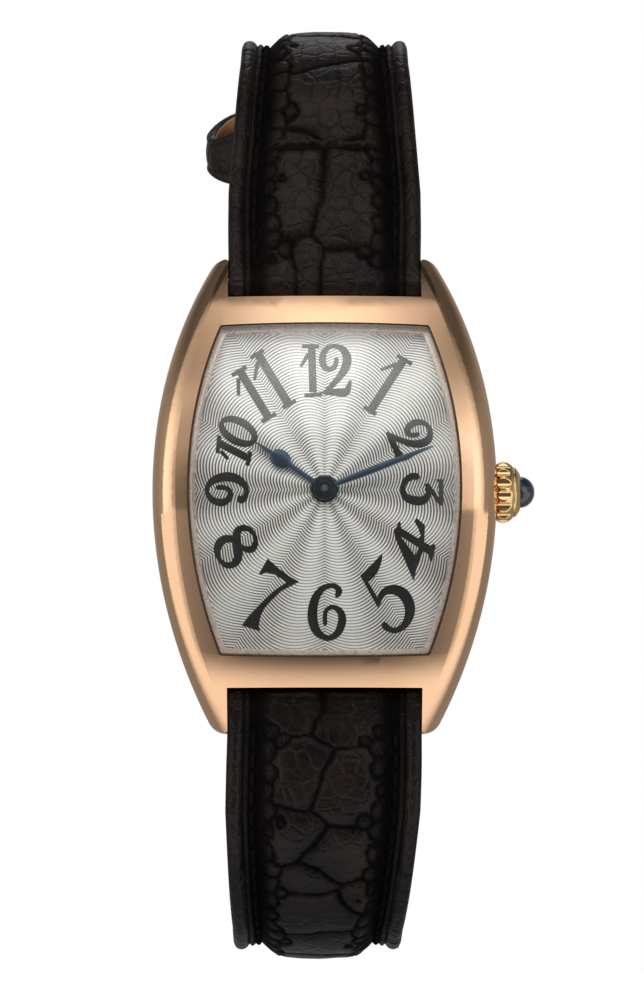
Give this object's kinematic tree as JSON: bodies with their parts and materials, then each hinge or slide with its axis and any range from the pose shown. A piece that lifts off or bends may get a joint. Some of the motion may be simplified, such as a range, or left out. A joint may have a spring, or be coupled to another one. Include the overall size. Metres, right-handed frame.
{
  "type": "tonneau wrist watch",
  "caption": "Small curved tonneau wrist watch with an engine-turned dial, hands, crown, padded leather strap, keepers and tang buckle.",
  "frame": {"origin": "centre of the case back's flat outer face", "axes": "-Y is the way the dial faces, +Y points to the wrist, +Z towards twelve, +X towards the crown"},
  "size_m": [0.0278, 0.0595, 0.0718],
  "materials": {
    "rose_gold": "polished rose gold",
    "crown_gold": "polished yellower gold",
    "cabochon": "polished dark stone",
    "steel": "machined",
    "gasket": "matt",
    "crystal_glass": "polished",
    "flange": "polished",
    "dial_silver": "engine turned",
    "blued_steel": "blued and polished",
    "brass": "machined",
    "holder_plastic": "moulded",
    "board": "lacquered",
    "copper": "enamelled wire",
    "black_leather": "semi-gloss alligator grain",
    "lining_leather": "smooth"
  },
  "bodies": {
    "watch_head": {"case_middle": "rose_gold", "case_back": "rose_gold", "back_screw_1": "steel", "back_screw_2": "steel", "back_screw_3": "steel", "back_screw_4": "steel", "bridge_screw_1": "steel", "bridge_screw_2": "steel", "bridge_screw_3": "steel", "spring_bar_upper": "steel", "spring_bar_lower": "steel", "crown_tube": "steel", "battery": "steel", "battery_clip": "steel", "stator": "steel", "rotor": "steel", "quartz_crystal": "steel", "case_back_gasket": "gasket", "crystal_gasket": "gasket", "crystal": "crystal_glass", "dial_flange": "flange", "dial": "dial_silver", "center_wheel": "brass", "third_wheel": "brass", "intermediate_wheel": "brass", "main_plate": "brass", "train_bridge": "brass", "movement_ring": "holder_plastic", "circuit_board": "board", "coil": "copper"},
    "minute_hand": {"minute_hand": "blued_steel", "cannon_pinion": "brass"},
    "minute_wheel": {"minute_wheel": "brass"},
    "hour_hand": {"hour_hand": "blued_steel", "hour_wheel": "brass"},
    "crown_carriage": {"setting_lever": "steel"},
    "crown": {"crown": "crown_gold", "crown_cabochon": "cabochon", "crown_gasket": "gasket", "winding_stem": "steel", "sliding_pinion": "steel"},
    "strap_upper": {"strap_upper_leather": "black_leather", "strap_upper_lining": "lining_leather", "fixed_keeper": "black_leather", "buckle_spring_bar": "steel"},
    "strap_lower": {"strap_lower_leather": "black_leather", "strap_lower_lining": "lining_leather"},
    "buckle_frame": {"buckle_frame": "rose_gold"},
    "buckle_tang": {"buckle_tang": "rose_gold"},
    "loose_keeper": {"loose_keeper": "black_leather"}
  },
  "joints": [
    {"name": "minute_hand_turn", "type": "hinge", "parent": "watch_head", "child": "minute_hand", "pos_m": [0, -0.005, 0], "axis": [0, 1, 0], "continuous": true},
    {"name": "minute_wheel_turn", "type": "hinge", "parent": "watch_head", "child": "minute_wheel", "pos_m": [0.00154, -0.0028, -0.00184], "axis": [0, 1, 0], "continuous": true},
    {"name": "hour_hand_turn", "type": "hinge", "parent": "watch_head", "child": "hour_hand", "pos_m": [0, -0.0045, 0], "axis": [0, 1, 0], "continuous": true},
    {"name": "crown_pull", "type": "slide", "parent": "watch_head", "child": "crown_carriage", "axis": [1, 0, 0], "range_m": [0, 0.001]},
    {"name": "crown_turn", "type": "hinge", "parent": "crown_carriage", "child": "crown", "pos_m": [0.013, -0.0023, 0], "axis": [1, 0, 0], "continuous": true},
    {"name": "strap_upper_swing", "type": "hinge", "parent": "watch_head", "child": "strap_upper", "pos_m": [0, -0.00055, 0.0158], "axis": [1, 0, 0], "range_deg": [0, 80]},
    {"name": "strap_lower_swing", "type": "hinge", "parent": "watch_head", "child": "strap_lower", "pos_m": [0, -0.00055, -0.0158], "axis": [-1, 0, 0], "range_deg": [0, 80]},
    {"name": "buckle_frame_swing", "type": "hinge", "parent": "strap_upper", "child": "buckle_frame", "pos_m": [0, 0.03508, 0.01148], "axis": [1, 0, 0], "range_deg": [-5, 65]},
    {"name": "buckle_tang_swing", "type": "hinge", "parent": "buckle_frame", "child": "buckle_tang", "pos_m": [0, 0.03508, 0.01148], "axis": [1, 0, 0], "range_deg": [0, 28]},
    {"name": "loose_keeper_slide", "type": "slide", "parent": "strap_upper", "child": "loose_keeper", "axis": [0, 0.4695, -0.8829], "range_m": [0, 0.0045]}
  ],
  "couplings": [
    {"joint": "minute_wheel_turn", "follows": "minute_hand_turn", "ratio": -0.33333},
    {"joint": "hour_hand_turn", "follows": "minute_hand_turn", "ratio": 0.083333}
  ]
}
